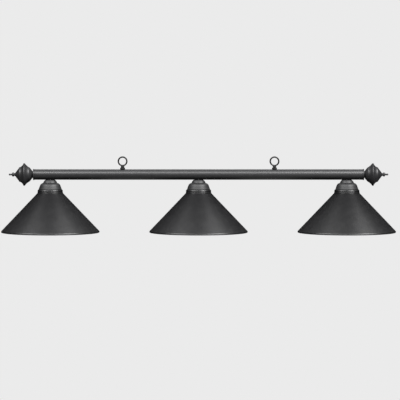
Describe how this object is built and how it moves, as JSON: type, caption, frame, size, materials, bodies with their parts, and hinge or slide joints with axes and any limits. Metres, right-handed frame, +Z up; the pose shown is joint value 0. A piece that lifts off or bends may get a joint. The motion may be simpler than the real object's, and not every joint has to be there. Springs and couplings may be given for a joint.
{
  "type": "pool table lamp",
  "caption": "Long hanging lamp: a round bar with ogee finials, eye bolts above and domed fitters with wide cone shades below.",
  "frame": {"origin": "middle of the line between the centres of the two eye rings, which hang from the ceiling's chains", "axes": "+X along the bar, +Y to the back, +Z up"},
  "size_m": [1.4298, 0.3564, 0.2755],
  "materials": {
    "bar_paint": "satin black powder coat",
    "fitter_paint": "semi-gloss black powder coat",
    "shade_paint": "matt black powder coat outside, off-white enamel inside",
    "zinc": "zinc plated",
    "phenolic": "moulded black",
    "brass": "satin",
    "aluminium": "satin",
    "bulb_glass": "frosted",
    "lead_sleeve": "matt",
    "rubber": "matt",
    "splice_plastic": "semi-gloss"
  },
  "bodies": {
    "bar": {"bar_tube": "bar_paint", "end_cap_left": "bar_paint", "end_cap_right": "bar_paint", "nipple_left": "zinc", "bar_nut_left": "zinc", "dome_nut_left": "zinc", "neck_cap_left": "fitter_paint", "dome_cap_left": "fitter_paint", "socket_body_left": "phenolic", "screw_shell_left": "aluminium", "centre_contact_left": "brass", "lamp_lead_left": "lead_sleeve", "nipple_centre": "zinc", "bar_nut_centre": "zinc", "dome_nut_centre": "zinc", "neck_cap_centre": "fitter_paint", "dome_cap_centre": "fitter_paint", "socket_body_centre": "phenolic", "screw_shell_centre": "aluminium", "centre_contact_centre": "brass", "lamp_lead_centre": "lead_sleeve", "nipple_right": "zinc", "bar_nut_right": "zinc", "dome_nut_right": "zinc", "neck_cap_right": "fitter_paint", "dome_cap_right": "fitter_paint", "socket_body_right": "phenolic", "screw_shell_right": "aluminium", "centre_contact_right": "brass", "lamp_lead_right": "lead_sleeve", "splice_cap": "splice_plastic", "inlet_grommet": "rubber"},
    "eye_left": {"eye_bolt_left": "bar_paint", "eye_collar_left": "bar_paint", "eye_nut_left": "zinc"},
    "eye_right": {"eye_bolt_right": "bar_paint", "eye_collar_right": "bar_paint", "eye_nut_right": "zinc"},
    "finial_left": {"finial_inner_left": "bar_paint", "finial_outer_left": "bar_paint", "finial_tip_left": "bar_paint", "finial_stud_left": "zinc"},
    "finial_right": {"finial_inner_right": "bar_paint", "finial_outer_right": "bar_paint", "finial_tip_right": "bar_paint", "finial_stud_right": "zinc"},
    "lampshade_left": {"shade_left": "shade_paint"},
    "ring_left": {"shade_ring_left": "phenolic"},
    "bulb_left": {"bulb_glass_left": "bulb_glass", "bulb_base_left": "aluminium"},
    "lampshade_centre": {"shade_centre": "shade_paint"},
    "ring_centre": {"shade_ring_centre": "phenolic"},
    "bulb_centre": {"bulb_glass_centre": "bulb_glass", "bulb_base_centre": "aluminium"},
    "lampshade_right": {"shade_right": "shade_paint"},
    "ring_right": {"shade_ring_right": "phenolic"},
    "bulb_right": {"bulb_glass_right": "bulb_glass", "bulb_base_right": "aluminium"}
  },
  "joints": [
    {"name": "eye_left_turn", "type": "hinge", "parent": "bar", "child": "eye_left", "pos_m": [-0.2747, 0, 0], "axis": [0, 0, 1], "continuous": true},
    {"name": "eye_right_turn", "type": "hinge", "parent": "bar", "child": "eye_right", "pos_m": [0.2747, 0, 0], "axis": [0, 0, 1], "continuous": true},
    {"name": "finial_left_turn", "type": "hinge", "parent": "bar", "child": "finial_left", "pos_m": [-0.6, 0, -0.048], "axis": [-1, 0, 0], "continuous": true},
    {"name": "finial_right_turn", "type": "hinge", "parent": "bar", "child": "finial_right", "pos_m": [0.6, 0, -0.048], "axis": [1, 0, 0], "continuous": true},
    {"name": "shade_left_turn", "type": "hinge", "parent": "bar", "child": "lampshade_left", "pos_m": [-0.5367, 0, -0.1023], "axis": [0, 0, 1], "continuous": true},
    {"name": "ring_left_turn", "type": "hinge", "parent": "bar", "child": "ring_left", "pos_m": [-0.5367, 0, -0.1088], "axis": [0, 0, 1], "continuous": true},
    {"name": "bulb_left_turn", "type": "hinge", "parent": "bar", "child": "bulb_left", "pos_m": [-0.5367, 0, -0.123], "axis": [0, 0, 1], "continuous": true},
    {"name": "shade_centre_turn", "type": "hinge", "parent": "bar", "child": "lampshade_centre", "pos_m": [0, 0, -0.1023], "axis": [0, 0, 1], "continuous": true},
    {"name": "ring_centre_turn", "type": "hinge", "parent": "bar", "child": "ring_centre", "pos_m": [0, 0, -0.1088], "axis": [0, 0, 1], "continuous": true},
    {"name": "bulb_centre_turn", "type": "hinge", "parent": "bar", "child": "bulb_centre", "pos_m": [0, 0, -0.123], "axis": [0, 0, 1], "continuous": true},
    {"name": "shade_right_turn", "type": "hinge", "parent": "bar", "child": "lampshade_right", "pos_m": [0.5367, 0, -0.1023], "axis": [0, 0, 1], "continuous": true},
    {"name": "ring_right_turn", "type": "hinge", "parent": "bar", "child": "ring_right", "pos_m": [0.5367, 0, -0.1088], "axis": [0, 0, 1], "continuous": true},
    {"name": "bulb_right_turn", "type": "hinge", "parent": "bar", "child": "bulb_right", "pos_m": [0.5367, 0, -0.123], "axis": [0, 0, 1], "continuous": true}
  ]
}
